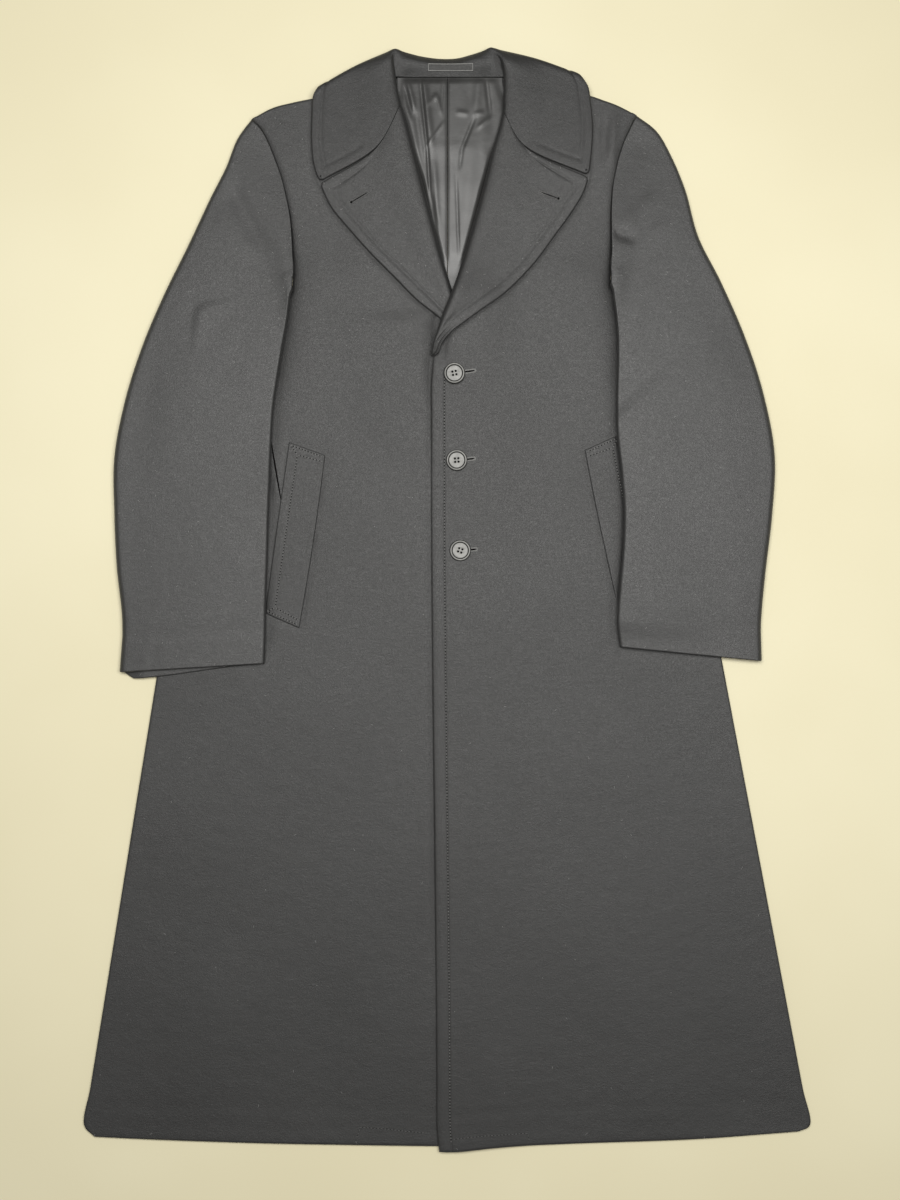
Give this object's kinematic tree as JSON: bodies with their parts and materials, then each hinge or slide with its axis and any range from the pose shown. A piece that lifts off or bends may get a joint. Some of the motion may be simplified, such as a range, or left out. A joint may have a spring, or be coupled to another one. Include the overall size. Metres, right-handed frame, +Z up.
{
  "type": "single-breasted overcoat",
  "caption": "Long single-breasted wool overcoat laid flat on its back, front closed, notched lapels, slanted welt pockets, round sewn buttons.",
  "frame": {"origin": "middle of the coat's bounding box in plan, on the surface it lies on", "axes": "+Z up from the surface, +Y from the hem towards the collar, +X to the right for someone who looks down on the coat, which is the wearer's left"},
  "size_m": [0.8328, 1.2626, 0.0257],
  "materials": {
    "wool": "matte charcoal wool cloth, short nap",
    "wool_collar": "matte charcoal wool cloth, pressed",
    "satin_lining": "black satin with a soft sheen",
    "button_horn": "satin dark grey button",
    "label_cloth": "woven dark grey label, bare"
  },
  "bodies": {
    "root": {"back_left": "wool", "back_right": "wool", "lining_left": "satin_lining", "lining_right": "satin_lining", "front_left": "wool", "front_right": "wool", "lapel_left": "wool", "lapel_right": "wool", "sleeve_left": "wool", "sleeve_right": "wool", "welt_left": "wool", "welt_right": "wool", "collar": "wool_collar", "neck_label": "label_cloth", "button_1": "button_horn", "button_2": "button_horn", "button_3": "button_horn"}
  },
  "joints": []
}
